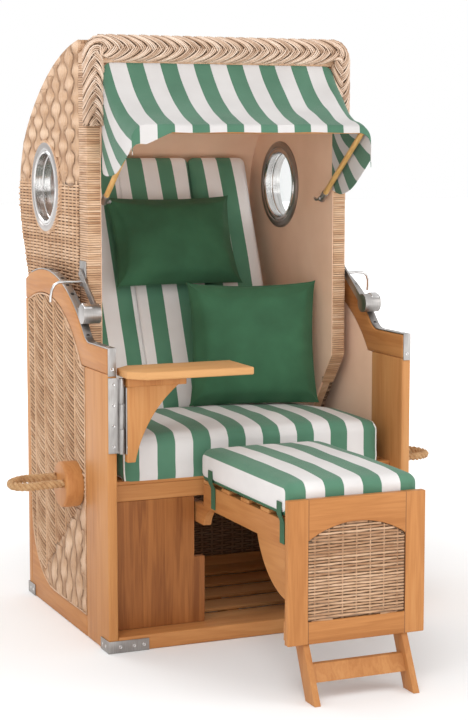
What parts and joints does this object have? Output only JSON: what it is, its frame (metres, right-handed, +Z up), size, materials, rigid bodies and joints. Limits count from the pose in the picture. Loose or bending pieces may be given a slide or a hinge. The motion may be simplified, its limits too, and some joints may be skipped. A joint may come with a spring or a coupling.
{
  "type": "hooded beach chair",
  "caption": "Wicker beach chair with a tilting hood between arched arm frames, striped cushions, a folding awning, a swing table and a hooked-on foot stool",
  "frame": {"origin": "on the floor, under the middle of the seat box", "axes": "+X to the sitter's left as seen from the front (image right), -Y the way the sitter looks, +Z up"},
  "size_m": [1.2609, 1.538, 1.6],
  "materials": {
    "teak": "oiled",
    "wicker": "woven, matte",
    "lining": "woven, matte",
    "striped_cloth": "matte",
    "green_cloth": "matte",
    "steel": "brushed",
    "chrome": "polished",
    "glass": "clear",
    "rope": "twisted"
  },
  "bodies": {
    "base": {"arm_strips": "steel", "bottom_rails": "teak", "corner_brackets": "steel", "floor_slats": "teak", "front_bottom_rail": "teak", "front_panels": "teak", "front_posts": "teak", "hood_pivot_bolts": "steel", "left_arm_rail": "teak", "left_rope_handle": "rope", "left_side_wicker": "wicker", "rear_bottom_rail": "teak", "rear_posts": "teak", "rear_top_rail": "teak", "rear_wicker": "wicker", "right_arm_rail": "teak", "right_rope_handle": "rope", "right_side_wicker": "wicker", "rope_bosses": "teak", "seat_bearers": "teak", "seat_cushion": "striped_cloth", "seat_front_rail": "teak", "seat_pillow": "green_cloth", "seat_slats": "teak", "side_linings": "lining", "stool_guides": "teak", "table_hinge_plate": "steel"},
    "hood": {"left_hood_wicker": "wicker", "right_hood_wicker": "wicker", "hood_side_cores": "teak", "hood_side_linings": "lining", "hood_back_wicker": "wicker", "hood_back_lining": "lining", "hood_back_rail": "teak", "hood_posts": "teak", "hood_top_rail": "teak", "hood_braid": "wicker", "porthole_frames": "chrome", "porthole_glass": "glass", "hood_lock_plates": "steel", "left_back_cushion": "striped_cloth", "middle_back_cushion": "striped_cloth", "right_back_cushion": "striped_cloth", "head_pillow": "green_cloth"},
    "left_lock": {"left_lock_lever": "steel"},
    "right_lock": {"right_lock_lever": "steel"},
    "awning": {"awning_arms": "teak", "awning_bar": "teak", "awning_canopy": "striped_cloth"},
    "table": {"table_hinge_leaf": "steel", "table_bracket": "teak", "table_top": "teak"},
    "stool": {"stool_rails": "teak", "stool_slats": "teak", "stool_front": "teak", "stool_wicker": "wicker", "stool_cushion": "striped_cloth", "stool_cleats": "teak"},
    "stool_legs": {"stool_leg": "teak"}
  },
  "joints": [
    {"name": "hood_tilt", "type": "hinge", "parent": "base", "child": "hood", "pos_m": [0, 0.178, 0.5], "axis": [-1, 0, 0], "range_deg": [0, 45]},
    {"name": "left_lock_lift", "type": "hinge", "parent": "hood", "child": "left_lock", "pos_m": [-0.395, -0.02, 0.965], "axis": [-1, 0, 0], "range_deg": [0, 40]},
    {"name": "right_lock_lift", "type": "hinge", "parent": "hood", "child": "right_lock", "pos_m": [0.395, -0.02, 0.965], "axis": [-1, 0, 0], "range_deg": [0, 40]},
    {"name": "awning_fold", "type": "hinge", "parent": "hood", "child": "awning", "pos_m": [0, -0.02, 1.157], "axis": [-1, 0, 0], "range_deg": [0, 40], "deforming": ["awning_canopy"]},
    {"name": "table_swing", "type": "hinge", "parent": "base", "child": "table", "pos_m": [-0.406, -0.37, 0.63], "axis": [0, 0, -1], "range_deg": [0, 95]},
    {"name": "stool_tilt", "type": "hinge", "parent": "base", "child": "stool", "pos_m": [0, -0.235, 0.34], "axis": [-1, 0, 0], "range_deg": [0, 10]},
    {"name": "leg_fold", "type": "hinge", "parent": "stool", "child": "stool_legs", "pos_m": [0, -0.8597, 0.15], "axis": [1, 0, 0], "range_deg": [0, 120]}
  ]
}
